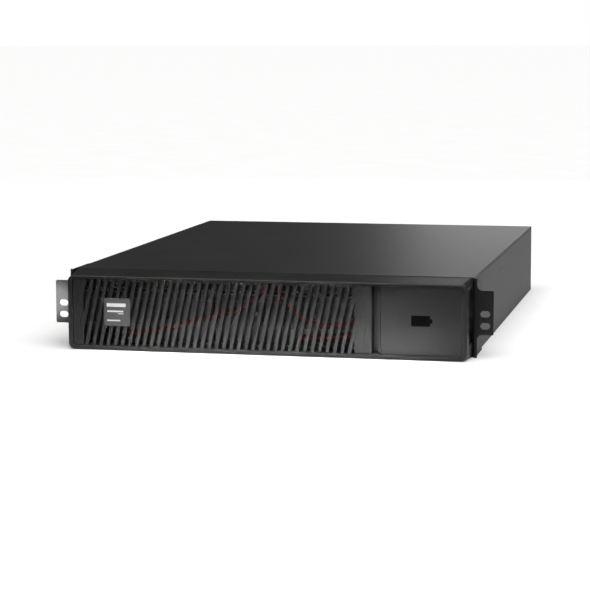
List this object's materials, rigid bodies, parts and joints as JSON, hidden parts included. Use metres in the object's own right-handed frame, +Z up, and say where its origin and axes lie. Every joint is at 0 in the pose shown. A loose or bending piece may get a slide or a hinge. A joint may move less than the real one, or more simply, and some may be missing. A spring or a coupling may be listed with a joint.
{
  "type": "rack-mount uninterruptible power supply battery module",
  "caption": "Flat black rack-mount UPS battery module with a slanted-slat bezel, blank panel, rack ears and slide-out battery trays behind the bezel.",
  "frame": {"origin": "middle of the base, at the centre of the overall depth from the badge to the rear fittings", "axes": "+X to the right seen from the front, +Y towards the rear, +Z up"},
  "size_m": [0.4826, 0.5974, 0.0844],
  "materials": {
    "dark_powder_coat": "dark grey fine-textured powder coat",
    "black_ear_paint": "black powder coat on the rack ears",
    "tray_paint": "black satin powder coat on the battery trays",
    "zinc_plate": "zinc-plated steel sheet",
    "black_screw": "black oxide steel screws",
    "bezel_plastic": "black moulded ABS, fine satin texture",
    "badge_plastic": "dark grey moulded name-plate blank",
    "symbol_ink": "black printed battery shape",
    "battery_case": "dark grey moulded ABS battery case",
    "tinned_brass": "tin-plated brass",
    "red_insulation": "red silicone wire insulation",
    "black_insulation": "black silicone wire insulation",
    "strap_webbing": "black nylon webbing",
    "plug_plastic": "grey polycarbonate connector housing",
    "slide_plastic": "natural polyethylene strip",
    "circuit_board": "green solder mask on glass-epoxy board",
    "black_moulding": "black moulded nylon",
    "fuse_ceramic": "white ceramic fuse bodies with metal caps",
    "knob_plate": "nickel-plated knurled steel",
    "rocker_plastic": "black glossy moulded rocker"
  },
  "bodies": {
    "case": {"base_pan": "dark_powder_coat", "top_cover": "dark_powder_coat", "rear_panel": "dark_powder_coat", "front_rail": "zinc_plate", "left_rack_ear": "black_ear_paint", "right_rack_ear": "black_ear_paint", "case_screws": "black_screw", "bay_divider": "zinc_plate", "duct_wall": "zinc_plate", "rear_bulkhead": "zinc_plate", "slide_strips": "slide_plastic", "socket_bracket": "zinc_plate", "tray_sockets": "plug_plastic", "connection_board": "circuit_board", "board_standoffs": "tinned_brass", "fuse_holders": "black_moulding", "fuses": "fuse_ceramic", "terminal_block": "black_moulding", "breaker_body": "black_moulding", "output_connector": "plug_plastic", "input_connector": "plug_plastic", "connector_contacts": "tinned_brass", "ground_stud": "tinned_brass", "red_leads": "red_insulation", "black_leads": "black_insulation"},
    "bezel": {"bezel_frame": "bezel_plastic", "grille": "bezel_plastic", "badge": "badge_plastic", "blank_panel": "bezel_plastic", "battery_symbol": "symbol_ink"},
    "breaker_rocker": {"breaker_rocker": "rocker_plastic"},
    "left_tray": {"left_tray": "tray_paint", "left_pull_strap": "strap_webbing", "left_battery_1": "battery_case", "left_battery_2": "battery_case", "left_battery_3": "battery_case", "left_battery_4": "battery_case", "left_terminals": "tinned_brass", "left_jumpers": "black_insulation", "left_red_lead": "red_insulation", "left_black_lead": "black_insulation", "left_plug": "plug_plastic", "left_plug_contacts": "tinned_brass"},
    "left_outer_thumbscrew": {"left_outer_thumbscrew": "knob_plate"},
    "left_inner_thumbscrew": {"left_inner_thumbscrew": "knob_plate"},
    "right_tray": {"right_tray": "tray_paint", "right_pull_strap": "strap_webbing", "right_battery_1": "battery_case", "right_battery_2": "battery_case", "right_battery_3": "battery_case", "right_battery_4": "battery_case", "right_terminals": "tinned_brass", "right_jumpers": "black_insulation", "right_red_lead": "red_insulation", "right_black_lead": "black_insulation", "right_plug": "plug_plastic", "right_plug_contacts": "tinned_brass"},
    "right_outer_thumbscrew": {"right_outer_thumbscrew": "knob_plate"},
    "right_inner_thumbscrew": {"right_inner_thumbscrew": "knob_plate"}
  },
  "joints": [
    {"name": "bezel_pull", "type": "slide", "parent": "case", "child": "bezel", "axis": [0, -1, 0], "range_m": [0, 0.5]},
    {"name": "left_tray_slide", "type": "slide", "parent": "case", "child": "left_tray", "axis": [0, -1, 0], "range_m": [0, 0.425]},
    {"name": "right_tray_slide", "type": "slide", "parent": "case", "child": "right_tray", "axis": [0, -1, 0], "range_m": [0, 0.425]},
    {"name": "breaker_toggle", "type": "hinge", "parent": "case", "child": "breaker_rocker", "pos_m": [0.155, 0.2869, 0.04], "axis": [1, 0, 0], "range_deg": [-26, 0]},
    {"name": "left_outer_screw_turn", "type": "hinge", "parent": "left_tray", "child": "left_outer_thumbscrew", "pos_m": [-0.1658, -0.2635, 0.0722], "axis": [0, -1, 0], "continuous": true},
    {"name": "left_inner_screw_turn", "type": "hinge", "parent": "left_tray", "child": "left_inner_thumbscrew", "pos_m": [-0.1158, -0.2635, 0.0722], "axis": [0, -1, 0], "continuous": true},
    {"name": "right_outer_screw_turn", "type": "hinge", "parent": "right_tray", "child": "right_outer_thumbscrew", "pos_m": [-0.0086, -0.2635, 0.0722], "axis": [0, -1, 0], "continuous": true},
    {"name": "right_inner_screw_turn", "type": "hinge", "parent": "right_tray", "child": "right_inner_thumbscrew", "pos_m": [0.0414, -0.2635, 0.0722], "axis": [0, -1, 0], "continuous": true}
  ],
  "couplings": [
    {"joint": "left_tray_slide", "follows": "bezel_pull", "ratio": 0.85},
    {"joint": "right_tray_slide", "follows": "bezel_pull", "ratio": 0.85}
  ]
}
